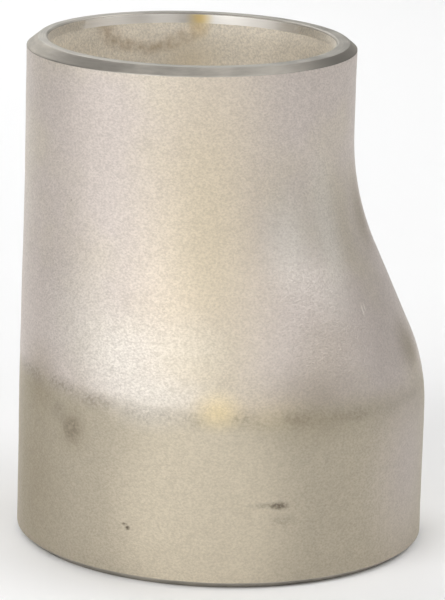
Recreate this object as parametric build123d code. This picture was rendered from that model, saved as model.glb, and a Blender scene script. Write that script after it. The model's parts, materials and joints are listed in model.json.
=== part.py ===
from build123d import *
import math
import os

# Eccentric butt-weld pipe reducer, NPS 2 x 1-1/2, in millimetres.
#
# It is one seamless piece of stainless pipe. A die presses one end inwards from one side only, so
# the opposite side stays straight, and then both ends are turned for welding. The large end stands
# on z = 0 with its centre at the origin, +Z runs to the small end, and +X is the side that closes in.

# Outside
LARGE_OD = 61.0          # NPS 2 end, 60.3 nominal, +1.6/-0.8 allowed
SMALL_OD = 48.8          # NPS 1-1/2 end, 48.3 nominal, +1.6/-0.8 allowed
LENGTH = 74.6            # 76.2 nominal, +/-2 allowed
LARGE_TANGENT = 20.3     # straight stretch at the large end
SMALL_TANGENT = 13.2     # straight stretch at the small end
SHOULDER_RADIUS = 27.2   # outward bend above the large end, on the side that closes in
THROAT_RADIUS = 40.3     # hollow bend below the small end, on the same side

# Wall, thicker at the small end because the metal was pressed together there
LARGE_WALL = 2.9
SMALL_WALL = 3.2

# Turned ends
ROOT_FACE = 1.65         # land left between the bore and the weld bevel
BEVEL_ANGLE = 39.0       # from the plane of the end
SKIM = 0.1               # taken off the pressed bore to true it
SKIM_DEPTH = 1.6
SKIM_RUN_OUT = 0.4       # taper from the trued bore back to the pressed bore
DEBURR = 0.2             # broken edge at the mouth of each bore
CUT_PAST = 1.0           # how far a bore's cutter passes the end plane

BEND_STEPS = 9           # steps between sections round each bend

LARGE_RADIUS = LARGE_OD / 2
SMALL_RADIUS = SMALL_OD / 2
OFFSET = LARGE_RADIUS - SMALL_RADIUS        # between the axes of the two ends
RISE = LENGTH - LARGE_TANGENT - SMALL_TANGENT
RUN = 2 * OFFSET                            # how far the closing side moves in altogether
FROM_BASE = (Align.CENTER, Align.CENTER, Align.MIN)


def slope_angle():
    """Angle from the axis of the straight slope that joins the shoulder to the throat, in radians."""
    bends = SHOULDER_RADIUS + THROAT_RADIUS
    reach = math.hypot(RISE, bends - RUN)
    return math.atan2(RISE, bends - RUN) - math.acos(bends / reach)


SLOPE = slope_angle()


def closed_in(z):
    """How far the closing side has moved in at height z: shoulder bend, slope, then throat bend."""
    above_shoulder = min(max(z - LARGE_TANGENT, 0), RISE)
    below_throat = RISE - above_shoulder
    if above_shoulder <= SHOULDER_RADIUS * math.sin(SLOPE):
        return SHOULDER_RADIUS - math.sqrt(SHOULDER_RADIUS ** 2 - above_shoulder ** 2)
    if below_throat <= THROAT_RADIUS * math.sin(SLOPE):
        return RUN - THROAT_RADIUS + math.sqrt(THROAT_RADIUS ** 2 - below_throat ** 2)
    up_slope = above_shoulder - SHOULDER_RADIUS * math.sin(SLOPE)
    return SHOULDER_RADIUS * (1 - math.cos(SLOPE)) + up_slope * math.tan(SLOPE)


def wall(z):
    """Wall thickness at height z, which grows as the pipe closes in."""
    return LARGE_WALL + (SMALL_WALL - LARGE_WALL) * closed_in(z) / RUN


def section_heights():
    """Heights of the round sections, at even angles round the shoulder and then round the throat."""
    turns = [SLOPE * step / BEND_STEPS for step in range(BEND_STEPS + 1)]
    shoulder = [LARGE_TANGENT + SHOULDER_RADIUS * math.sin(turn) for turn in turns]
    throat = [LENGTH - SMALL_TANGENT - THROAT_RADIUS * math.sin(turn) for turn in reversed(turns)]
    return shoulder + throat


def section(z, inside):
    """The round outline at height z. Its centre moves away from the closing side as it shrinks."""
    moved = closed_in(z)
    radius = LARGE_RADIUS - moved / 2
    if inside:
        radius -= wall(z)
    return Pos(-moved / 2, 0, z) * Circle(radius)


def transition(inside):
    """The formed part between the two straight stretches."""
    return loft([section(z, inside) for z in section_heights()])


def end_outside(radius, thickness, straight):
    """A straight stretch standing on its end plane: the weld bevel, then plain pipe."""
    bevel_run = thickness - SKIM - ROOT_FACE
    bevel_rise = bevel_run * math.tan(math.radians(BEVEL_ANGLE))
    bevel = Cone(radius - bevel_run, radius, bevel_rise, align=FROM_BASE)
    pipe = Cylinder(radius, straight - bevel_rise, align=FROM_BASE)
    return bevel + Pos(0, 0, bevel_rise) * pipe


def end_bore(bore, straight):
    """What is hollow in a straight stretch: broken edge, trued bore, run-out, then pressed bore."""
    trued = bore + SKIM
    mouth = Cone(trued + DEBURR + CUT_PAST, trued, DEBURR + CUT_PAST, align=FROM_BASE)
    skim = Cylinder(trued, SKIM_DEPTH, align=FROM_BASE)
    run_out = Cone(trued, bore, SKIM_RUN_OUT, align=FROM_BASE)
    pressed = Cylinder(bore, straight, align=FROM_BASE)
    return Pos(0, 0, -CUT_PAST) * mouth + skim + Pos(0, 0, SKIM_DEPTH) * run_out + pressed


def at_small_end(shape):
    """Turns a shape that stands on its end plane over, and puts it at the small end."""
    return Pos(-OFFSET, 0, LENGTH) * Rot(180, 0, 0) * shape


def reducer_body():
    """The whole fitting: outside less inside."""
    large_outside = end_outside(LARGE_RADIUS, LARGE_WALL, LARGE_TANGENT)
    small_outside = at_small_end(end_outside(SMALL_RADIUS, SMALL_WALL, SMALL_TANGENT))
    large_bore = end_bore(LARGE_RADIUS - LARGE_WALL, LARGE_TANGENT)
    small_bore = at_small_end(end_bore(SMALL_RADIUS - SMALL_WALL, SMALL_TANGENT))
    outside = large_outside + transition(inside=False) + small_outside
    inside = large_bore + transition(inside=True) + small_bore
    body = outside - inside
    body.label = "reducer_body"
    return body


os.makedirs("parts", exist_ok=True)
export_step(reducer_body(), "parts/reducer_body.step")
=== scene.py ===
import json
import math

import bpy
from bpy.props import FloatProperty, FloatVectorProperty, IntProperty, PointerProperty
from bpy.types import Operator, Panel, PropertyGroup
from mathutils import Matrix, Vector


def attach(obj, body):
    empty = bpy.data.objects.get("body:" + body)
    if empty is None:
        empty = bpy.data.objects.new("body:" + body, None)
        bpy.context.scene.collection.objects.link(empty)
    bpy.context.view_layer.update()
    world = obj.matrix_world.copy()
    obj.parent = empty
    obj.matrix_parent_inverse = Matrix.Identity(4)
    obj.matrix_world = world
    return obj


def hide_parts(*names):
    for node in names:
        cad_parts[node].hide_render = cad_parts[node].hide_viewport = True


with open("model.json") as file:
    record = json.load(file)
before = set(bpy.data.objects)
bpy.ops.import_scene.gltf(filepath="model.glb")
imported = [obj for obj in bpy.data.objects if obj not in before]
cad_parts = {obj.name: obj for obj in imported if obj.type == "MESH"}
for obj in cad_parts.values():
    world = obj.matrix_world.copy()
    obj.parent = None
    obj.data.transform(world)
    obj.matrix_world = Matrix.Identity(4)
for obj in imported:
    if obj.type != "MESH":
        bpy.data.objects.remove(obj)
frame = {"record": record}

bl_info = {
    "name": "Eccentric pipe reducer",
    "version": (1, 0, 0),
    "blender": (4, 5, 0),
    "location": "View3D > Sidebar > Reducer",
    "description": "Makes the finished pipe reducer round its packed model, and the studio it stands in",
    "category": "Add Mesh",
}

# Lengths are in metres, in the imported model's frame: the large end stands on z = 0 with its centre
# at the origin, +Z runs to the small end, and +X is the side that closes in.

MM = 0.001
MOUNTS = {mount["name"]: mount for mount in frame["record"]["mounts"]}
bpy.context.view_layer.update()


def mount_radius(name):
    """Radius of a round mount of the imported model."""
    return MOUNTS[name]["dims"]["r_mm"] * MM


LARGE_RADIUS = mount_radius("large_end_outside")
SMALL_RADIUS = mount_radius("small_end_outside")
LENGTH = MOUNTS["small_end_face"]["pos_m"][2]
LARGE_WALL = LARGE_RADIUS - mount_radius("large_end_bore")
SMALL_WALL = SMALL_RADIUS - mount_radius("small_end_bore")

# What the shot, the tools and the die leave behind
PEEN_SIZE = 0.36 * MM           # across the dimples that the shot leaves
SKIN_RELIEF = 0.05 * MM         # how deep they are on the skin
BORE_RELIEF = 0.06 * MM         # and in the bore
TURNING_FEED = 0.14 * MM        # between the tool's rings on the turned faces
TRUING_FEED = 0.24 * MM         # and in the trued mouth
TURNING_RELIEF = 0.008 * MM     # how deep the rings are
DIE_WANDER_SIZE = 6 * MM        # along the die mark, from one bend of its line to the next
DIE_WANDER = 1.2 * MM           # how far its line strays up and down altogether
DIE_DIP = 1.7 * MM              # how much lower it lies on the closing side
WELD_WITHIN = 0.002 * MM        # points nearer than this become one


class ReducerSizes(PropertyGroup):
    """What a maker would set before pressing and turning the fitting."""

    large_radius: FloatProperty(
        name="Large radius", description="Outside radius of the large end",
        default=LARGE_RADIUS, unit="LENGTH")
    small_radius: FloatProperty(
        name="Small radius", description="Outside radius of the small end",
        default=SMALL_RADIUS, unit="LENGTH")
    length: FloatProperty(
        name="Length", description="From end to end", default=LENGTH, unit="LENGTH")
    large_tangent: FloatProperty(
        name="Large tangent", description="Straight stretch at the large end",
        default=20.3 * MM, unit="LENGTH")
    small_tangent: FloatProperty(
        name="Small tangent", description="Straight stretch at the small end",
        default=13.2 * MM, unit="LENGTH")
    shoulder_radius: FloatProperty(
        name="Shoulder radius", description="Outward bend on the side that closes in",
        default=27.2 * MM, unit="LENGTH")
    throat_radius: FloatProperty(
        name="Throat radius", description="Hollow bend on the side that closes in",
        default=40.3 * MM, unit="LENGTH")
    large_wall: FloatProperty(
        name="Large wall", description="Wall thickness at the large end",
        default=LARGE_WALL, unit="LENGTH")
    small_wall: FloatProperty(
        name="Small wall", description="Wall thickness at the small end",
        default=SMALL_WALL, unit="LENGTH")
    root_face: FloatProperty(
        name="Root face", description="Land left between the bore and the weld bevel",
        default=1.65 * MM, unit="LENGTH")
    bevel_angle: FloatProperty(
        name="Bevel angle", description="Weld bevel, from the plane of the end",
        default=math.radians(39.0), subtype="ANGLE")
    skim: FloatProperty(
        name="Skim", description="Taken off the pressed bore to true it",
        default=0.1 * MM, unit="LENGTH")
    skim_depth: FloatProperty(
        name="Skim depth", description="How far in the bore is trued",
        default=1.6 * MM, unit="LENGTH")
    skim_run_out: FloatProperty(
        name="Skim run-out", description="Taper back to the pressed bore",
        default=1.5 * MM, unit="LENGTH")
    deburr: FloatProperty(
        name="Deburr", description="Broken edge at the mouth of the bore",
        default=0.2 * MM, unit="LENGTH")
    edge_softness: FloatProperty(
        name="Edge softness", description="Radius left on the turned edges",
        default=0.07 * MM, unit="LENGTH")


class ReducerMesh(PropertyGroup):
    """How finely the wall is divided, and how uneven the pressing left it."""

    segments: IntProperty(
        name="Segments", description="Steps round the fitting", default=320)
    skin_step: FloatProperty(
        name="Skin step", description="Longest step along the outside",
        default=0.62 * MM, unit="LENGTH")
    bore_step: FloatProperty(
        name="Bore step", description="Longest step along the bore",
        default=1.1 * MM, unit="LENGTH")
    turned_step: FloatProperty(
        name="Turned step", description="Longest step across the turned faces",
        default=0.22 * MM, unit="LENGTH")
    stray_fade: FloatProperty(
        name="Stray fade", description="How far down the skin the bevel's uneven edge is taken up",
        default=4.0 * MM, unit="LENGTH")
    blasting: FloatProperty(
        name="Blasting", description="Metal that the shot took off the skin",
        default=0.004 * MM, unit="LENGTH")
    cutter_stray: FloatProperty(
        name="Cutter stray", description="How far the small end's bevel was cut off its axis",
        default=0.3 * MM, unit="LENGTH")
    waviness: FloatProperty(
        name="Waviness", description="Deepest hollow that the pressing left in the skin",
        default=0.07 * MM, unit="LENGTH")
    die_height: FloatProperty(
        name="Die mark height", description="Where the edge of the die scuffed the skin",
        default=26.9 * MM, unit="LENGTH")
    die_depth: FloatProperty(
        name="Die mark depth", description="How deep the die's edge bit",
        default=0.05 * MM, unit="LENGTH")
    seed: IntProperty(name="Seed", description="Fixes the unevenness", default=7)


class ReducerFinish(PropertyGroup):
    """Colours of the metal and what has settled on it, and of the highlights, reflections and shade
    painted on the skin.
    """

    blasted_warm: FloatVectorProperty(
        name="Blasted, warm", description="Shot-blasted skin where it has a straw tint",
        subtype="COLOR", size=3, default=(0.665, 0.605, 0.485))
    blasted_cool: FloatVectorProperty(
        name="Blasted, cool", description="Shot-blasted skin where it stayed grey",
        subtype="COLOR", size=3, default=(0.645, 0.579, 0.533))
    # Partly painted shade: besides the duller pipe finish, it is dark for the shaded sides of the foot,
    # and a paler copy paints the light on its front
    pipe_skin: FloatVectorProperty(
        name="Pipe skin", description="Duller skin below the die mark, where the pipe was not pressed",
        subtype="COLOR", size=3, default=(0.490, 0.438, 0.348))
    # Painted shade: the darker colour laid in the shaded marks on the skin
    worn: FloatVectorProperty(
        name="Worn", description="Brown-grey rubs round the die mark",
        subtype="COLOR", size=3, default=(0.330, 0.275, 0.178))
    # Painted highlight on the skin, and the colour of the light scratches
    rubbed: FloatVectorProperty(
        name="Rubbed", description="Skin that the die rubbed smoother and brighter",
        subtype="COLOR", size=3, default=(0.775, 0.730, 0.665))
    # Colour of the painted warm reflection up the skin, and of a straw tint in the bore
    straw: FloatVectorProperty(
        name="Straw", description="Straw tint that runs up the front",
        subtype="COLOR", size=3, default=(0.705, 0.612, 0.448))
    bevel: FloatVectorProperty(
        name="Bevel", description="Turned weld bevel",
        subtype="COLOR", size=3, default=(0.490, 0.458, 0.408))
    root_face: FloatVectorProperty(
        name="Root face", description="Turned land between the bevel and the bore",
        subtype="COLOR", size=3, default=(0.470, 0.450, 0.410))
    trued: FloatVectorProperty(
        name="Trued", description="Brightest metal, in the mouth of the bore",
        subtype="COLOR", size=3, default=(0.970, 0.950, 0.915))
    bore: FloatVectorProperty(
        name="Bore", description="Pressed bore",
        subtype="COLOR", size=3, default=(0.810, 0.755, 0.660))
    heat_stain: FloatVectorProperty(
        name="Heat stain", description="Brown stain left in the bore",
        subtype="COLOR", size=3, default=(0.360, 0.240, 0.110))
    # Gold heat tint in the bore, also the colour of the painted golden highlight on the skin
    gold_stain: FloatVectorProperty(
        name="Gold stain", description="Golden heat tint at the mouth of the bore",
        subtype="COLOR", size=3, default=(0.980, 0.780, 0.380))
    scuff: FloatVectorProperty(
        name="Scuff", description="Dark specks and rubbed-in dirt",
        subtype="COLOR", size=3, default=(0.130, 0.105, 0.075))


class ReducerStudio(PropertyGroup):
    """The light tent, the softboxes and the camera."""

    tent_radius: FloatProperty(
        name="Tent radius", description="From the fitting to the white wall round it",
        default=1.35, unit="LENGTH")
    tent_height: FloatProperty(
        name="Tent height", description="Height of the white wall", default=1.5, unit="LENGTH")
    tent_sweep: FloatProperty(
        name="Tent sweep", description="Radius of the curve from the floor to the wall",
        default=0.45, unit="LENGTH")
    tent_white: FloatProperty(
        name="Tent white", description="How much light the floor and wall send back",
        default=0.9, min=0.0, max=1.0, subtype="FACTOR")
    sky_strength: FloatProperty(
        name="Sky strength", description="Soft light through the open top of the tent",
        default=0.03, min=0.0)
    softbox_distance: FloatProperty(
        name="Softbox distance", description="From the fitting to each softbox",
        default=0.7, unit="LENGTH")
    camera_turn: FloatProperty(
        name="Camera turn", description="Round the fitting from the front",
        default=math.radians(17.2), subtype="ANGLE")
    camera_tilt: FloatProperty(
        name="Camera tilt", description="Above the horizon",
        default=math.radians(14.32), subtype="ANGLE")
    camera_roll: FloatProperty(
        name="Camera roll", description="About the line of sight",
        default=math.radians(1.61), subtype="ANGLE")
    camera_distance: FloatProperty(
        name="Camera distance", description="From the point it looks at",
        default=572.0 * MM, unit="LENGTH")
    aim_height: FloatProperty(
        name="Aim height", description="Height of the point the camera looks at",
        default=35.3 * MM, unit="LENGTH")
    aim_aside: FloatProperty(
        name="Aim aside", description="How far right of the large end's axis the camera looks",
        default=-0.3 * MM, unit="LENGTH")
    focal_length: FloatProperty(
        name="Focal length", description="On a sensor 36 mm along its long side",
        default=229.5)


# ---- Node tree helper ----

class Graph:
    """Writes node trees for shapes and for materials in one way."""

    def __init__(self, tree):
        self.tree = tree

    def put(self, socket, value):
        """Links a socket, or sets a plain value."""
        if isinstance(value, bpy.types.NodeSocket):
            self.tree.links.new(value, socket)
        else:
            socket.default_value = value

    def node(self, kind, inputs=None, **settings):
        """A node with its settings and its inputs, which are given by name or by place."""
        made = self.tree.nodes.new(kind)
        for name, value in settings.items():
            setattr(made, name, value)
        for name, value in (inputs or {}).items():
            self.put(made.inputs[name], value)
        return made

    def math(self, operation, *values):
        """One sum."""
        return self.node("ShaderNodeMath", dict(enumerate(values)), operation=operation).outputs[0]

    def product(self, first, *others):
        """All the values multiplied together."""
        for other in others:
            first = self.math("MULTIPLY", first, other)
        return first

    def about(self, middle, noise, range_of_it):
        """A value that strays to both sides of its middle as the noise does."""
        return self.math("MULTIPLY_ADD", self.math("SUBTRACT", noise, 0.5), range_of_it, middle)

    def vector(self, operation, *values):
        """One sum on vectors. Only a length is a plain number."""
        made = self.node("ShaderNodeVectorMath", dict(enumerate(values)), operation=operation)
        return made.outputs["Value" if operation == "LENGTH" else "Vector"]

    def spread(self, value, low, high, to_low=0.0, to_high=1.0):
        """Maps low..high smoothly to to_low..to_high."""
        inputs = {"Value": value, "From Min": low, "From Max": high, "To Min": to_low, "To Max": to_high}
        return self.node("ShaderNodeMapRange", inputs, interpolation_type="SMOOTHSTEP").outputs[0]

    def apart(self, vector):
        """The three parts of a vector."""
        return self.node("ShaderNodeSeparateXYZ", {0: vector}).outputs[:]

    def together(self, x, y, z):
        """A vector from its parts."""
        return self.node("ShaderNodeCombineXYZ", {0: x, 1: y, 2: z}).outputs[0]

    def noise(self, place, size, detail=2.0, roughness=0.5, seed=0.0):
        """Soft random values about one half, with lumps of the given size."""
        inputs = {"Vector": place, "W": seed, "Scale": 1.0 / size, "Detail": detail,
                  "Roughness": roughness}
        return self.node("ShaderNodeTexNoise", inputs, noise_dimensions="4D").outputs[0]

    def blend(self, share, first, second, kind="MIX"):
        """Mixes two colours."""
        inputs = {"Factor": share, 6: first, 7: second}
        return self.node("ShaderNodeMix", inputs, data_type="RGBA", blend_type=kind).outputs[2]

    def grained(self, colour, grain):
        """A colour darkened where the grain is under 1 and lightened where it is over."""
        return self.blend(1.0, colour, self.together(grain, grain, grain), "MULTIPLY")


# ---- The wall ----

BLASTED, TURNED, TRUED, PRESSED = range(4)


def divided(start, end, longest):
    """Places from start to end, without end, no further apart than longest."""
    steps = max(1, math.ceil(abs(end - start) / longest))
    return [start + (end - start) * step / steps for step in range(steps)]


def softened(corners, radius):
    """Rounds each inner corner of an outline with three points; keeps the first and last."""
    out = [corners[0]]
    for before, corner, after in zip(corners, corners[1:], corners[2:]):
        towards = [(Vector(p) - Vector(corner)).normalized() for p in (before, after)]
        start, end = (Vector(corner) + way * radius for way in towards)
        middle = (start + end + 2 * Vector(corner)) / 4
        out += [tuple(start), tuple(middle), tuple(end)]
    return out + [corners[-1]]


def end_outline(sizes, wall):
    """Turned end as (depth below the skin, distance from the end plane), from the skin to the bore."""
    run = wall - sizes.skim - sizes.root_face
    trued = wall - sizes.skim
    corners = [
        (0.0, run * math.tan(sizes.bevel_angle) + sizes.edge_softness * 3),
        (0.0, run * math.tan(sizes.bevel_angle)),
        (run, 0.0),
        (trued - sizes.deburr, 0.0),
        (trued, sizes.deburr),
        (trued, sizes.skim_depth),
        (wall, sizes.skim_depth + sizes.skim_run_out),
    ]
    return softened(corners, sizes.edge_softness), trued


def end_stations(sizes, mesh, wall, height_of):
    """The turned end as stations: share of the wall, cut below the skin, height, zone, strays.

    The strays say how far a station moves inwards and up for each unit that the bevel's cutter is
    out of true, so the bevel keeps its angle and the bore stays round.
    """
    outline, trued = end_outline(sizes, wall)
    run = trued - sizes.root_face
    slope = math.tan(sizes.bevel_angle)
    mouth = trued - sizes.deburr
    reach_of_turning = max(run * slope + sizes.edge_softness, sizes.deburr)
    stations = []
    for (depth, up), (next_depth, next_up) in zip(outline, outline[1:]):
        reach = math.hypot(next_depth - depth, next_up - up)
        steps = max(1, math.ceil(reach / mesh.turned_step))
        if max(depth, next_depth) <= 0:
            zone = BLASTED
        elif next_depth > depth and max(up, next_up) < reach_of_turning:
            zone = TURNED
        elif min(up, next_up) > sizes.skim_depth * 0.99:
            zone = PRESSED
        else:
            zone = TRUED
        for step in range(steps):
            share = step / steps
            at_depth = depth + (next_depth - depth) * share
            at_up = up + (next_up - up) * share
            inwards = at_depth / run if at_depth < run else max(0.0, (mouth - at_depth) / (mouth - run))
            upwards = slope * min(1.0, at_up / (run * slope)) if at_depth < run else 0.0
            stations.append((0.0, at_depth, height_of(at_up), zone, inwards, upwards))
    return stations


def wall_stations(sizes, mesh):
    """The wall's outline, once round: up the skin, over the small end, down the bore, out again."""
    small = end_stations(sizes, mesh, sizes.small_wall, lambda up: sizes.length - up)
    large = end_stations(sizes, mesh, sizes.large_wall, lambda up: up)
    skin_low, skin_high = large[0][2], small[0][2]
    bore_end = sizes.skim_depth + sizes.skim_run_out
    slope = math.tan(sizes.bevel_angle)
    skin = []
    for z in divided(skin_low, skin_high, mesh.skin_step):
        near_bevel = max(0.0, 1 - (skin_high - z) / mesh.stray_fade)
        skin.append((0.0, 0.0, z, BLASTED, 0.0, slope * near_bevel * near_bevel))
    bore = [(1.0, 0.0, z, PRESSED, 0.0, 0.0)
            for z in divided(sizes.length - bore_end, bore_end, mesh.bore_step)]
    # The large end is walked from the bore outwards, so its stations turn round, and each zone
    # moves to the station that now starts its strip. Its cutter ran true.
    turned_round = [(1.0, 0.0, bore_end, large[-1][3], 0.0, 0.0)]
    for here, before in zip(large[:0:-1], large[-2::-1]):
        turned_round.append((*here[:3], before[3], 0.0, 0.0))
    return skin + small + bore + turned_round


def outline_mesh(sizes, mesh):
    """The outline as loose points, which the shape tree rolls round."""
    stations = wall_stations(sizes, mesh)
    made = bpy.data.meshes.new("wall_outline")
    made.from_pydata([station[:3] for station in stations], [], [])
    zones = made.attributes.new("zone", "INT", "POINT")
    zones.data.foreach_set("value", [station[3] for station in stations])
    strays = made.attributes.new("stray", "FLOAT_VECTOR", "POINT")
    for place, station in zip(strays.data, stations):
        place.vector = (station[4], station[5], 0.0)
    return made


# The settings that the shape tree takes, which its inputs are named for
ROLLED_SIZES = ("large_radius", "small_radius", "length", "large_tangent", "small_tangent",
                "shoulder_radius", "throat_radius", "large_wall", "small_wall")
ROLLED_WEAR = ("blasting", "cutter_stray", "waviness", "die_height", "die_depth")


def label(name):
    """A setting's name as an input of the shape tree shows it."""
    return name.replace("_", " ").capitalize()


def closed_in(g, size, height):
    """How far the closing side has moved in at a height, and that as a share of the whole."""
    straights = g.math("ADD", size["Large tangent"], size["Small tangent"])
    rise = g.math("SUBTRACT", size["Length"], straights)
    run = g.product(g.math("SUBTRACT", size["Large radius"], size["Small radius"]), 2.0)
    bends = g.math("ADD", size["Shoulder radius"], size["Throat radius"])
    left = g.math("SUBTRACT", bends, run)
    reach = g.math("SQRT", g.math("ADD", g.math("POWER", rise, 2.0), g.math("POWER", left, 2.0)))
    slope = g.math("SUBTRACT", g.math("ARCTAN2", rise, left),
                   g.math("ARCCOSINE", g.math("DIVIDE", bends, reach)))
    above = g.math("SUBTRACT", height, size["Large tangent"])
    above = g.math("MINIMUM", g.math("MAXIMUM", above, 0.0), rise)
    below = g.math("SUBTRACT", rise, above)

    def bend(radius, along):
        """How far an arc has left its tangent after a distance along it."""
        inner = g.math("SUBTRACT", g.math("POWER", radius, 2.0), g.math("POWER", along, 2.0))
        return g.math("SUBTRACT", radius, g.math("SQRT", inner))

    sine = g.math("SINE", slope)
    shoulder_rise = g.product(size["Shoulder radius"], sine)
    throat_rise = g.product(size["Throat radius"], sine)
    on_shoulder = bend(size["Shoulder radius"], above)
    on_throat = g.math("SUBTRACT", run, bend(size["Throat radius"], below))
    up_slope = g.math("SUBTRACT", above, shoulder_rise)
    on_slope = g.math("MULTIPLY_ADD", up_slope, g.math("TANGENT", slope),
                      bend(size["Shoulder radius"], shoulder_rise))
    past_shoulder = g.math("GREATER_THAN", above, shoulder_rise)
    in_throat = g.math("LESS_THAN", below, throat_rise)

    def choose(switch, first, second):
        """first where switch is 0, second where it is 1."""
        return g.node("ShaderNodeMix", {0: switch, 2: first, 3: second}, data_type="FLOAT").outputs[0]

    moved = choose(in_throat, choose(past_shoulder, on_shoulder, on_slope), on_throat)
    return moved, g.math("DIVIDE", moved, run)


def die_line(g, place, middle, seed):
    """Height of the line that the die's edge left, and the noise that it wanders by."""
    wander = g.noise(place, DIE_WANDER_SIZE, seed=seed)
    return g.about(middle, wander, DIE_WANDER), wander


def die_dip(g, place):
    """How much lower the edge of the die sat on the side that it closed in."""
    return g.spread(g.apart(place)[0], -20 * MM, 0.0, 0.0, -DIE_DIP)


def roll_tree(materials):
    """Shape tree that rolls the wall's outline round an axis that shifts as the pipe closes in."""
    tree = bpy.data.node_groups.new("Rolled wall", "GeometryNodeTree")
    tree.interface.new_socket("Geometry", in_out="INPUT", socket_type="NodeSocketGeometry")
    for name in ROLLED_SIZES + ROLLED_WEAR:
        tree.interface.new_socket(label(name), in_out="INPUT", socket_type="NodeSocketFloat")
    for name in ("Segments", "Seed"):
        tree.interface.new_socket(name, in_out="INPUT", socket_type="NodeSocketInt")
    tree.interface.new_socket("Geometry", in_out="OUTPUT", socket_type="NodeSocketGeometry")
    g = Graph(tree)
    size = g.node("NodeGroupInput").outputs
    outline = size["Geometry"]

    # A sheet of squares, one row of points for each station and one more to meet the first again
    stations = g.node("GeometryNodeAttributeDomainSize", {"Geometry": outline}).outputs["Point Count"]
    across = g.math("ADD", stations, 1.0)
    around = g.math("ADD", size["Segments"], 1.0)
    grid = g.node("GeometryNodeMeshGrid", {"Vertices X": around, "Vertices Y": across})
    index = g.node("GeometryNodeInputIndex").outputs[0]
    row = g.math("FLOORED_MODULO", index, across)
    turn_step = g.math("FLOOR", g.math("DIVIDE", index, across))
    share_round = g.math("FLOORED_MODULO", g.math("DIVIDE", turn_step, size["Segments"]), 1.0)
    turn = g.product(share_round, math.tau)

    def said(name, kind, station):
        """What the outline's points say at a station, under an attribute's name."""
        given = g.node("GeometryNodeInputNamedAttribute", {"Name": name}, data_type=kind)
        sample = g.node("GeometryNodeSampleIndex", {"Geometry": outline}, data_type=kind)
        g.put(sample.inputs["Value"], given.outputs["Attribute"])
        g.put(sample.inputs["Index"], station)
        return sample.outputs["Value"]

    station = g.math("FLOORED_MODULO", row, stations)
    share, cut, height = g.apart(said("position", "FLOAT_VECTOR", station))
    inwards, upwards, _ = g.apart(said("stray", "FLOAT_VECTOR", station))
    leaning = g.product(g.math("COSINE", turn), size["Cutter stray"])
    cut = g.math("SUBTRACT", cut, g.product(inwards, leaning))
    height = g.math("MULTIPLY_ADD", upwards, leaning, height)
    moved, moved_share = closed_in(g, size, height)
    extra = g.math("SUBTRACT", size["Small wall"], size["Large wall"])
    wall = g.math("MULTIPLY_ADD", extra, moved_share, size["Large wall"])
    depth = g.math("MULTIPLY_ADD", share, wall, cut)
    on_skin = g.math("LESS_THAN", depth, 0.001 * MM)
    depth = g.math("MULTIPLY_ADD", on_skin, size["Blasting"], depth)
    sideways = g.product(moved, -0.5)
    full_radius = g.math("ADD", size["Large radius"], sideways)

    def rolled(radius):
        """The point at this turn and height on a round section of the given radius."""
        x = g.math("MULTIPLY_ADD", radius, g.math("COSINE", turn), sideways)
        return g.together(x, g.product(radius, g.math("SINE", turn)), height)

    # Hollows that the pressing left, and the scuffed groove at the edge of the die, both inwards
    # only. The turned ends are true, so they fade out before the ends.
    place = rolled(g.math("SUBTRACT", full_radius, depth))
    seed = size["Seed"]
    broad = g.noise(place, 14 * MM, detail=1.0, seed=seed)
    close = g.noise(place, 4.5 * MM, seed=g.math("ADD", seed, 3.0))
    hollows = g.spread(g.math("MULTIPLY_ADD", close, 0.35, g.product(broad, 0.65)), 0.3, 0.75)
    from_small = g.math("SUBTRACT", size["Length"], height)
    inside_ends = g.product(g.spread(height, 1.6 * MM, 5 * MM), g.spread(from_small, 2 * MM, 6 * MM))
    sunk = g.product(hollows, inside_ends, size["Waviness"])
    die_at, wander = die_line(g, place, size["Die height"], g.math("ADD", seed, 5.0))
    die_at = g.math("ADD", die_at, die_dip(g, place))
    off_die = g.math("ABSOLUTE", g.math("SUBTRACT", height, die_at))
    groove = g.product(g.spread(off_die, 0.9 * MM, 0.0), g.spread(wander, 0.3, 0.6))
    bitten = g.product(groove, on_skin, size["Die depth"])
    depth = g.math("ADD", depth, g.math("ADD", sunk, bitten))

    wall_place = rolled(g.math("SUBTRACT", full_radius, depth))
    shape = g.node("GeometryNodeSetPosition", {"Geometry": grid.outputs[0], "Position": wall_place})
    shape = shape.outputs[0]

    # A face lies halfway between two rows of points, so the whole part of its row is the station
    # that starts its strip, and the face takes the finish of that one
    on_points = g.node("GeometryNodeFieldOnDomain", data_type="FLOAT", domain="POINT")
    g.put(on_points.inputs["Value"], row)
    zone = said("zone", "INT", g.math("FLOOR", on_points.outputs["Value"]))
    for number, material in enumerate(materials):
        same = g.node("FunctionNodeCompare", {2: zone, 3: number}, data_type="INT", operation="EQUAL")
        painted = g.node("GeometryNodeSetMaterial", {"Geometry": shape, "Material": material})
        g.put(painted.inputs["Selection"], same.outputs[0])
        shape = painted.outputs[0]
    joined = g.node("GeometryNodeMergeByDistance", {"Geometry": shape, "Distance": WELD_WITHIN})
    real = g.node("GeometryNodeRealizeInstances", {"Geometry": joined.outputs[0]})
    g.put(g.node("NodeGroupOutput").inputs[0], real.outputs[0])
    return tree


def set_inputs(modifier, values):
    """Sets a shape tree's named inputs by their identifiers."""
    sockets = {item.name: item.identifier for item in modifier.node_group.interface.items_tree
               if item.in_out == "INPUT"}
    for name, value in values.items():
        modifier[sockets[name]] = value


def made_plain(source, name):
    """The evaluated object as a plain mesh object, with the source removed."""
    graph = bpy.context.evaluated_depsgraph_get()
    mesh = bpy.data.meshes.new_from_object(source.evaluated_get(graph))
    mesh.name = name
    if mesh.materials[0] is None:       # the grid's own empty slot
        mesh.materials.pop(index=0)
    plain = bpy.data.objects.new(name, mesh)
    bpy.context.scene.collection.objects.link(plain)
    bpy.data.objects.remove(source)
    return plain


# ---- Finishes ----

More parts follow.
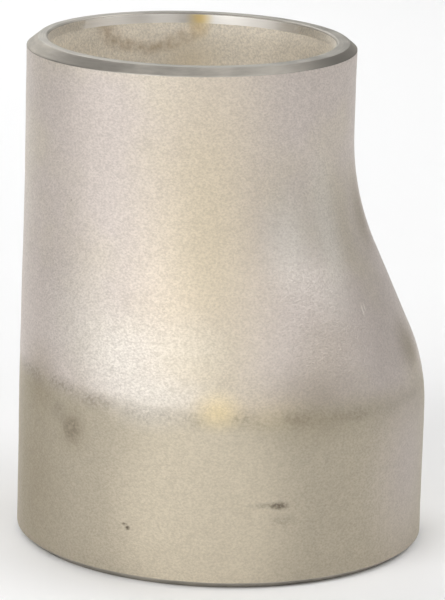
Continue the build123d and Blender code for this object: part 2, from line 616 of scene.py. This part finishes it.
def new_material(name):
    """An empty material, its tree writer, its metal shader and the object's own coordinates."""
    material = bpy.data.materials.new(name)
    material.use_nodes = True
    material.node_tree.nodes.clear()
    g = Graph(material.node_tree)
    shader = g.node("ShaderNodeBsdfPrincipled", {"Metallic": 1.0})
    output = g.node("ShaderNodeOutputMaterial")
    g.put(output.inputs["Surface"], shader.outputs[0])
    place = g.node("ShaderNodeTexCoord").outputs["Object"]
    return material, g, shader, place


def rgba(colour, shade=1.0):
    """A colour with full alpha, darkened or lightened."""
    return (*(part * shade for part in colour), 1.0)


def closed_in_at(sizes, height):
    """The same as closed_in, worked out as a plain number for placing marks on the skin."""
    shoulder, throat = sizes.shoulder_radius, sizes.throat_radius
    rise = sizes.length - sizes.large_tangent - sizes.small_tangent
    run = 2 * (sizes.large_radius - sizes.small_radius)
    left = shoulder + throat - run
    slope = math.atan2(rise, left) - math.acos((shoulder + throat) / math.hypot(rise, left))
    above = min(max(height - sizes.large_tangent, 0.0), rise)
    below = rise - above
    if above <= shoulder * math.sin(slope):
        return shoulder - math.sqrt(shoulder ** 2 - above ** 2)
    if below <= throat * math.sin(slope):
        return run - throat + math.sqrt(throat ** 2 - below ** 2)
    return shoulder * (1 - math.cos(slope)) + (above - shoulder * math.sin(slope)) * math.tan(slope)


def skin_point(sizes, turn, height, depth=0.0):
    """The point of the skin, or of a depth below it, at a turn about the section's own centre."""
    moved = closed_in_at(sizes, height)
    radius = sizes.large_radius - moved / 2 - depth
    return (radius * math.cos(turn) - moved / 2, radius * math.sin(turn), height)


def off_mark(g, place, centre, turn, across, tall, through):
    """How far off a mark's middle a point is: 1 at the edge of an oval on the surface."""
    inputs = {"Vector": place, "Location": centre, "Rotation": (0.0, 0.0, turn),
              "Scale": (through, across, tall)}
    return g.vector("LENGTH", g.node("ShaderNodeMapping", inputs, vector_type="TEXTURE").outputs[0])


def mark(g, place, sizes, turn, height, across, tall, depth=0.0, soft=1.0):
    """1 in the middle of an oval mark and 0 outside it; soft is the share of it that fades."""
    turn, height = math.radians(turn), height * MM
    centre = skin_point(sizes, turn, height, depth)
    off = off_mark(g, place, centre, turn, across * MM, tall * MM, max(across, tall, 5.0) * MM)
    return g.spread(off, 1.0, 1.0 - soft)


def peened(g, place, seed):
    """The dimples that the shot left."""
    return g.noise(place, PEEN_SIZE, roughness=0.7, seed=seed)


def bumped(g, shader, height, depth):
    """Gives the surface a fine relief of the stated depth."""
    bump = g.node("ShaderNodeBump", {"Height": height, "Distance": depth, "Strength": 1.0})
    g.put(shader.inputs["Normal"], bump.outputs[0])


# Marks: turn in degrees from the closing side, height, half width and half height in millimetres,
# and, in the lists, strength
# Painted light on the foot, in a paler copy of its colour
PALER_PIPE = (
    (-78, 11.0, 17.0, 24.0, 1.00),      # painted light: the front of the foot is paler where more light falls
    (-12, 12.0, 9.0, 16.0, 0.35),
    (95, 12.0, 16.0, 20.0, 0.70),
    (172, 10.0, 10.0, 16.0, 0.45),
)
# Painted shade on the skin, laid in the darker colour; one mark also darkens round the brown smudge on
# the left
SHADED = (
    (-134, 26.0, 8.0, 8.0, 0.42),       # the straight side, at the die mark and below it
    (-140, 12.0, 13.0, 22.0, 0.42),
    (-118, 21.0, 5.0, 5.5, 0.34),
    (-46, 27.2, 12.5, 8.5, 0.46),       # beside the shoulder, at the die mark
    (-37, 34.5, 9.0, 7.0, 0.22),
    (3, 30.5, 6.5, 7.0, 0.55),          # the shoulder itself
    (6, 50.0, 5.5, 9.0, 0.50),          # and the throat above it
    (58, 26.0, 12.0, 7.0, 0.40),        # the same painted shade goes on round the back
    (140, 26.0, 14.0, 8.0, 0.40),
)
# Painted highlights on the skin
BRIGHT = (
    (-101, 33.0, 12.0, 9.0, 0.80),      # painted highlight above the die mark
    (-92, 28.0, 14.0, 5.0, 0.70),
    (-78, 35.0, 9.0, 7.0, 0.30),
    (-116, 37.0, 10.0, 12.0, 0.40),
    (-39, 49.0, 7.0, 11.0, 0.75),       # in the throat
    (-28, 42.0, 6.0, 9.0, 0.40),
    (-22, 54.5, 5.0, 9.0, 0.55),
    (-22, 47.5, 4.5, 9.0, 0.75),
    (-152, 56.0, 8.0, 26.0, 0.35),      # the straight side
    (35, 44.0, 7.0, 10.0, 0.50),        # round the back
    (120, 33.0, 13.0, 8.0, 0.55),
)
GLOWING = (
    (-73, 26.6, 5.0, 4.0, 0.38),        # painted golden highlight where the painted warm reflection crosses the die mark
    (-60, 26.4, 8.0, 4.0, 0.10),
)
RUBBED_LOW = ((-93, 25.9, 9.0, 4.0, 0.50),)     # painted highlight that reaches past the die mark here
WARM = (
    (-68, 50.0, 14.5, 50.0, 0.78),      # painted warm reflection up the front
    (80, 45.0, 16.0, 40.0, 0.60),       # and another up the back
)
COOL_PIPE = (
    (-8, 15.0, 14.0, 22.0, 0.90),       # painted cool reflection: grey below the shoulder, without the pipe's brown
    (150, 16.0, 10.0, 18.0, 0.60),
)
SMUDGES = (
    (-56.4, 12.5, 2.3, 0.85, 0.85),     # dirt rubbed in above the foot, with a tail and a shadow
    (-61, 12.6, 3.0, 0.6, 0.32),
    (-55, 10.2, 2.8, 1.2, 0.24),
    (-118, 20.9, 3.0, 2.8, 0.42),       # a brown smudge on the left
    (-124, 22.8, 2.6, 2.4, 0.22),
    (-98.3, 8.0, 0.60, 0.50, 1.0),      # two specks above the foot
    (-99.2, 8.5, 0.60, 0.36, 0.9),
    (-116.4, 53.7, 0.28, 0.24, 0.6),    # and one high on the left
    (75, 50.0, 1.6, 0.5, 0.5),          # round the back
    (160, 31.0, 0.5, 2.0, 0.4),
    (20, 9.0, 0.4, 0.4, 0.7),
)
SCRATCHES = (
    (-17.5, 38.2, 0.22, 1.3, 0.8),      # two side by side on the slope above the shoulder
    (-16.0, 38.5, 0.16, 0.9, 0.7),
    (45, 52.0, 0.2, 1.5, 0.6),
)
LET_GO = (0, 27.0, 14.0, 8.0)           # where the skin turned in, away from the edge of the die
TRUED_GOLD = (105, 73.8, 2.6, 2.8)      # the golden heat tint in the mouth of the bore
BORE_GOLD = (105, 72.8, 2.6, 3.2)       # and what goes on below it
BORE_STRAW = (108, 67.0, 7.0, 6.0)
TIDE = (126, 74.0, 7.6, 4.7)            # the pool that left the brown line

# At the small end: painted shade on the bevel, and where the tool missed a low part of the
# bore, as turn and half width, the first with its strength
DULLED = ((-12, 22.0, 0.95), (-115, 13.0, 0.68), (100, 14.0, 0.50))
UNTRUED = ((32, 15.0), (-178, 13.0))


def blasted_material(finish, sizes, mesh):
    """Shot-blasted and pickled skin: peened dimples, tints, the die mark and smudges, with painted
    highlights, reflections and shade.
    """
    material, g, shader, place = new_material("Blasted stainless")
    height = g.apart(place)[2]
    squat = g.vector("MULTIPLY", place, (1.0, 1.0, 1.35))
    dimples = peened(g, squat, 1.0)
    tops = g.spread(dimples, 0.3, 0.7)
    lumps = g.noise(place, 1.5 * MM, seed=6.0)

    def marked(colour, marks, other, among=1.0, soft=1.0):
        """Lays another colour over the skin in each of the marks, or on a share of it there."""
        for turn, z, across, tall, strength in marks:
            share = mark(g, place, sizes, turn, z, across, tall, soft=soft)
            colour = g.blend(g.product(share, strength, among), colour, other)
        return colour

    tint = g.noise(place, 16 * MM, detail=3.0, seed=2.0)
    warm = rgba(finish.blasted_warm)
    colour = g.blend(g.spread(tint, 0.42, 0.75, 0.0, 0.6), rgba(finish.blasted_cool), warm)
    # Painted warm reflection up the front and the back
    colour = marked(colour, WARM, rgba(finish.straw))

    # The die mark wanders with the groove that the shape tree cuts
    die_at, _ = die_line(g, place, mesh.die_height, mesh.seed + 5.0)
    above_die = g.math("SUBTRACT", height, die_at)
    pressed = g.spread(above_die, -2.6 * MM, 1.6 * MM)
    # The painted highlights are stronger on the tops of the dimpled skin
    rubbing = g.math("MULTIPLY_ADD", tops, 0.50, 0.67)
    colour = marked(colour, BRIGHT, rgba(finish.rubbed), rubbing)
    # Below the die mark: the pipe skin, with painted light and a painted cool reflection laid on it
    pipe = marked(rgba(finish.pipe_skin), PALER_PIPE, rgba(finish.pipe_skin, 1.28), soft=0.6)
    # Painted cool reflection, in a darker copy of the cool skin colour
    pipe = marked(pipe, COOL_PIPE, rgba(finish.blasted_cool, 0.80))
    colour = g.blend(pressed, pipe, colour)
    # Painted shade beside the die mark, on the shoulder, the throat and the straight side
    colour = marked(colour, SHADED, rgba(finish.worn))
    # Painted highlight past the die mark
    colour = marked(colour, RUBBED_LOW, rgba(finish.rubbed))
    # Painted golden highlight on the die mark
    colour = marked(colour, GLOWING, rgba(finish.gold_stain))

    grain = g.about(1.0, tops, g.spread(pressed, 0.0, 1.0, 0.14, 0.20))
    colour = g.grained(colour, g.product(grain, g.spread(lumps, 0.3, 0.7, 0.98, 1.02)))

    # Fine dark mottling along the die mark, in runs with gaps between
    specks = g.spread(g.noise(place, 0.42 * MM, seed=8.0), 0.40, 0.62, 0.25, 1.0)
    runs = g.spread(g.noise(place, 6 * MM, seed=9.0), 0.36, 0.60)
    off_die = g.math("ABSOLUTE", g.math("SUBTRACT", above_die, die_dip(g, place)))
    near = g.spread(off_die, 2.0 * MM, 0.0)
    strength = g.spread(mark(g, place, sizes, *LET_GO, soft=0.5), 0.0, 1.0, 0.32, 0.03)
    colour = g.blend(g.product(specks, near, runs, strength), colour, rgba(finish.scuff))
    broken = g.spread(g.noise(place, 0.5 * MM, detail=3.0, seed=10.0), 0.35, 0.6, 0.35, 1.0)
    colour = marked(colour, SMUDGES, rgba(finish.scuff), broken, soft=0.85)
    colour = marked(colour, SCRATCHES, rgba(finish.rubbed, 1.2), soft=0.7)

    g.put(shader.inputs["Base Color"], colour)
    rough = g.math("MULTIPLY_ADD", tops, -0.10, 0.56)
    rough = g.math("ADD", rough, g.spread(pressed, 0.0, 1.0, 0.05, 0.0))
    g.put(shader.inputs["Roughness"], rough)
    bumped(g, shader, g.math("MULTIPLY_ADD", lumps, 0.5, dimples), SKIN_RELIEF)
    return material


def lathe_marks(g, place, sizes, feed, seed):
    """Fine, uneven rings that a turning tool left round the axis of the nearer end."""
    x, y, z = g.apart(place)
    at_small = g.math("GREATER_THAN", z, sizes.length / 2)
    x = g.math("MULTIPLY_ADD", at_small, sizes.large_radius - sizes.small_radius, x)
    radius = g.vector("LENGTH", g.together(x, y, 0.0))
    # Counting little for the way round draws the noise out into rings
    along = g.product(g.math("ARCTAN2", y, x), 0.8 * MM)
    unrolled = g.together(g.math("ADD", radius, z), along, 0.0)
    return g.noise(unrolled, feed, detail=3.0, roughness=0.7, seed=seed)


def turned_material(finish, sizes):
    """Turned bevel and root face, with the tool's rings, uneven wear and painted shade on parts of the
    bevel.
    """
    material, g, shader, place = new_material("Turned stainless")
    rings = lathe_marks(g, place, sizes, TURNING_FEED, 3.0)
    # Uneven wear of the turned faces, in tone and roughness
    worn = g.noise(place, 4 * MM, seed=4.0)
    height = g.apart(place)[2]
    from_end = g.math("MINIMUM", g.math("ABSOLUTE", height),
                      g.math("ABSOLUTE", g.math("SUBTRACT", sizes.length, height)))
    flat = g.spread(from_end, 0.10 * MM, 0.02 * MM)
    colour = g.blend(flat, rgba(finish.bevel), rgba(finish.root_face))
    colour = g.grained(colour, g.spread(worn, 0.3, 0.7, 0.88, 1.06))
    colour = g.grained(colour, g.spread(rings, 0.3, 0.7, 0.90, 1.10))
    on_bevel = g.math("SUBTRACT", 1.0, flat)
    # Painted shade: each mark darkens the bevel to about a third of its colour
    for turn, across, strength in DULLED:
        share = g.product(mark(g, place, sizes, turn, 74.0, across, 4.0), strength, on_bevel)
        colour = g.blend(share, colour, rgba(finish.bevel, 0.35))
    g.put(shader.inputs["Base Color"], colour)
    g.put(shader.inputs["Roughness"], g.spread(worn, 0.3, 0.7, 0.46, 0.54))
    # A turned face dulled in handling sends little back at a glance
    shader.inputs["Specular Tint"].default_value = (0.45, 0.45, 0.45, 1.0)
    bumped(g, shader, rings, TURNING_RELIEF)
    return material


def trued_material(finish, sizes):
    """Trued mouth of the bore, the brightest metal, with a golden heat tint at one place.

    Its rings are too fine to see one by one, but they spread the light up and down.
    """
    material, g, shader, place = new_material("Trued bore")
    g.put(shader.inputs["Tangent"], g.together(0.0, 0.0, 1.0))
    shader.inputs["Anisotropic"].default_value = 0.85
    rings = lathe_marks(g, place, sizes, TRUING_FEED, 13.0)
    colour = g.grained(rgba(finish.trued), g.spread(rings, 0.3, 0.7, 0.97, 1.03))
    gold = mark(g, place, sizes, *TRUED_GOLD, depth=sizes.small_wall)
    colour = g.blend(gold, colour, rgba(finish.gold_stain))

    # In two places the dimpled bore reaches the mouth, with a ragged edge
    missed = 0.0
    for turn, across in UNTRUED:
        low = mark(g, place, sizes, turn, 73.2, across, 9.0, depth=sizes.small_wall, soft=0.6)
        missed = g.math("MAXIMUM", missed, low)
    missed = g.spread(g.about(missed, g.noise(place, 1.5 * MM, seed=18.0), 0.8), 0.3, 0.7)
    dimples = peened(g, place, 14.0)
    pressed = g.grained(rgba(finish.bore), g.spread(dimples, 0.3, 0.7, 0.86, 1.08))
    g.put(shader.inputs["Base Color"], g.blend(missed, colour, pressed))
    g.put(shader.inputs["Roughness"], g.math("MULTIPLY_ADD", missed, 0.26, 0.44))
    g.put(shader.inputs["Metallic"], g.math("MULTIPLY_ADD", missed, -0.25, 1.0))
    bumped(g, shader, g.product(dimples, missed), BORE_RELIEF)
    return material


def bore_material(finish, sizes):
    """Pressed bore: dimpled like the skin, with a brown tide line where something dried."""
    material, g, shader, place = new_material("Pressed bore")
    dimples = peened(g, place, 14.0)
    tint = g.noise(place, 8 * MM, detail=3.0, seed=15.0)
    colour = g.blend(g.spread(tint, 0.35, 0.65), rgba(finish.bore, 0.93), rgba(finish.bore, 1.03))
    colour = g.grained(colour, g.spread(dimples, 0.3, 0.7, 0.88, 1.12))
    turn, z, across, tall = TIDE
    turn = math.radians(turn)
    centre = skin_point(sizes, turn, z * MM, sizes.small_wall)
    off = off_mark(g, place, centre, turn, across * MM, tall * MM, 10 * MM)
    off = g.about(off, g.noise(place, 3 * MM, seed=16.0), 0.35)
    line = g.spread(g.math("ABSOLUTE", g.math("SUBTRACT", off, 1.0)), 0.34, 0.0)
    broken = g.spread(g.noise(place, 1.2 * MM, detail=3.0, seed=17.0), 0.3, 0.65, 0.15, 0.5)
    colour = g.blend(g.product(line, broken), colour, rgba(finish.heat_stain))
    for stain, where, strength in ((finish.gold_stain, BORE_GOLD, 0.3), (finish.straw, BORE_STRAW, 0.5)):
        share = g.product(mark(g, place, sizes, *where, depth=sizes.small_wall), strength)
        colour = g.blend(share, colour, rgba(stain))
    g.put(shader.inputs["Base Color"], colour)
    shader.inputs["Roughness"].default_value = 0.7
    shader.inputs["Metallic"].default_value = 0.75
    bumped(g, shader, dimples, BORE_RELIEF)
    return material


# ---- Operators ----

class PIPE_REDUCER_OT_body(Operator):
    """Makes the reducer's body with its pressed skin, turned ends and finishes"""

    bl_idname = "pipe_reducer.body"
    bl_label = "Make reducer body"

    def execute(self, context):
        scene = context.scene
        sizes, mesh, finish = scene.reducer_sizes, scene.reducer_mesh, scene.reducer_finish
        materials = [blasted_material(finish, sizes, mesh), turned_material(finish, sizes),
                     trued_material(finish, sizes), bore_material(finish, sizes)]
        source = bpy.data.objects.new("wall_outline", outline_mesh(sizes, mesh))
        scene.collection.objects.link(source)
        modifier = source.modifiers.new("Rolled wall", "NODES")
        modifier.node_group = roll_tree(materials)
        values = {label(name): getattr(sizes, name) for name in ROLLED_SIZES}
        values |= {label(name): getattr(mesh, name) for name in ROLLED_WEAR}
        set_inputs(modifier, {**values, "Segments": mesh.segments, "Seed": mesh.seed})
        body = made_plain(source, "reducer_body_finished")
        if not body.data.polygons:
            raise RuntimeError("the rolled wall has no faces")
        body.data.shade_smooth()
        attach(body, "root")
        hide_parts("reducer_body")
        return {"FINISHED"}


# Softboxes: turn from the front and tilt above the horizon in degrees, width and height in metres,
# and watts
SOFTBOXES = (
    ("front_high", -20, 42, 0.40, 0.30, 1.95),
    ("front", -5, 10, 0.45, 0.30, 0.52),
    ("front_left", -45, 10, 0.30, 0.30, 0.48),
    ("front_right_high", 45, 42, 0.30, 0.30, 0.52),
    ("front_right_low", 42, 10, 0.30, 0.30, 0.27),
    ("right_high", 95, 45, 0.40, 0.30, 1.25),
    ("back_right_high", 140, 55, 0.40, 0.30, 0.65),
    ("back", 170, 22, 0.40, 0.30, 0.30),
    ("back_left_high", -140, 45, 0.50, 0.30, 1.55),
    ("back_left", -140, 14, 0.50, 0.30, 0.80),
    ("top", 0, 88, 0.40, 0.40, 0.35),
)


def outwards(turn, tilt):
    """The way out from the fitting, at a turn from the front and a tilt above the horizon."""
    level = math.cos(tilt)
    return Vector((math.sin(turn) * level, -math.cos(turn) * level, math.sin(tilt)))


class PIPE_REDUCER_OT_studio(Operator):
    """Sets the floor, the lights and the camera"""

    bl_idname = "pipe_reducer.studio"
    bl_label = "Set the studio"

    def execute(self, context):
        studio = context.scene.reducer_studio
        self.raise_tent(context, studio)
        for softbox in SOFTBOXES:
            self.hang_softbox(context, studio, *softbox)
        world = bpy.data.worlds.new("Studio")
        world.use_nodes = True
        sky = world.node_tree.nodes["Background"]
        sky.inputs["Color"].default_value = (1.0, 1.0, 1.0, 1.0)
        sky.inputs["Strength"].default_value = studio.sky_strength
        context.scene.world = world
        context.scene.view_settings.view_transform = "Standard"
        self.place_camera(context, studio)
        return {"FINISHED"}

    def raise_tent(self, context, studio):
        """The pale floor, which sweeps up into a round wall with no corner."""
        steps, around = 12, 96
        flat = studio.tent_radius - studio.tent_sweep
        profile = [(flat * share, 0.0) for share in (0.02, 0.2, 0.5)]
        for step in range(steps + 1):
            angle = math.pi / 2 * step / steps
            profile.append((flat + studio.tent_sweep * math.sin(angle),
                            studio.tent_sweep * (1 - math.cos(angle))))
        profile.append((studio.tent_radius, studio.tent_height))
        angles = [math.tau * turn / around for turn in range(around)]
        points = [(radius * math.cos(angle), radius * math.sin(angle), height)
                  for radius, height in profile for angle in angles]
        faces = [tuple(range(around))]      # the middle of the floor
        for start in range(0, around * (len(profile) - 1), around):
            for turn in range(around):
                low, next_low = start + turn, start + (turn + 1) % around
                faces.append((low, low + around, next_low + around, next_low))
        tent_mesh = bpy.data.meshes.new("floor")
        tent_mesh.from_pydata(points, [], faces)
        tent_mesh.shade_smooth()
        tent = bpy.data.objects.new("floor", tent_mesh)
        context.scene.collection.objects.link(tent)
        pale = bpy.data.materials.new("Pale paper")
        pale.use_nodes = True
        shader = pale.node_tree.nodes["Principled BSDF"]
        white = studio.tent_white
        shader.inputs["Base Color"].default_value = (white, white, white, 1.0)
        shader.inputs["Roughness"].default_value = 0.9
        shader.inputs["Specular IOR Level"].default_value = 0.0
        tent_mesh.materials.append(pale)

    def hang_softbox(self, context, studio, name, turn, tilt, wide, tall, watts):
        """A soft rectangular light, aimed at the middle of the fitting."""
        box = bpy.data.lights.new(name, "AREA")
        box.shape = "RECTANGLE"
        box.size = wide
        box.size_y = tall
        box.energy = watts
        lamp = bpy.data.objects.new(name, box)
        away = outwards(math.radians(turn), math.radians(tilt))
        lamp.location = Vector((0.0, 0.0, studio.aim_height)) + away * studio.softbox_distance
        lamp.rotation_euler = (-away).to_track_quat("-Z", "Y").to_euler()
        lamp.visible_camera = False
        context.scene.collection.objects.link(lamp)

    def place_camera(self, context, studio):
        """Puts the camera where the fitting is seen from, with its roll."""
        lens = bpy.data.cameras.new("camera")
        lens.lens = studio.focal_length
        lens.sensor_width = 36.0
        camera = bpy.data.objects.new("camera", lens)
        turn, roll = studio.camera_turn, studio.camera_roll
        back = outwards(turn, studio.camera_tilt)
        level = Vector((math.cos(turn), math.sin(turn), 0.0))
        upright = back.cross(level)
        right = level * math.cos(roll) + upright * math.sin(roll)
        up = upright * math.cos(roll) - level * math.sin(roll)
        aim = level * studio.aim_aside + Vector((0.0, 0.0, studio.aim_height))
        turned = Matrix((right, up, back)).transposed().to_4x4()
        camera.matrix_world = Matrix.Translation(aim + back * studio.camera_distance) @ turned
        context.scene.collection.objects.link(camera)
        context.scene.camera = camera


class PIPE_REDUCER_PT_panel(Panel):
    """Lists the sizes, the finishes and what can be made"""

    bl_label = "Pipe reducer"
    bl_idname = "PIPE_REDUCER_PT_panel"
    bl_space_type = "VIEW_3D"
    bl_region_type = "UI"
    bl_category = "Reducer"

    def draw(self, context):
        layout = self.layout
        for owner in GROUPS:
            group = getattr(context.scene, owner)
            box = layout.box()
            for name in group.__annotations__:
                box.prop(group, name)
        for operator in (PIPE_REDUCER_OT_body, PIPE_REDUCER_OT_studio):
            layout.operator(operator.bl_idname)


GROUPS = {
    "reducer_sizes": ReducerSizes,
    "reducer_mesh": ReducerMesh,
    "reducer_finish": ReducerFinish,
    "reducer_studio": ReducerStudio,
}
CLASSES = (*GROUPS.values(), PIPE_REDUCER_OT_body, PIPE_REDUCER_OT_studio, PIPE_REDUCER_PT_panel)


def register():
    """Adds the classes, and the settings to every scene."""
    for each in CLASSES:
        bpy.utils.register_class(each)
    for name, group in GROUPS.items():
        setattr(bpy.types.Scene, name, PointerProperty(type=group))


def unregister():
    """Takes the settings and the classes away again."""
    for name in GROUPS:
        delattr(bpy.types.Scene, name)
    for each in reversed(CLASSES):
        bpy.utils.unregister_class(each)


def main():
    register()
    bpy.ops.pipe_reducer.body()
    bpy.ops.pipe_reducer.studio()


if __name__ == "__main__":
    main()
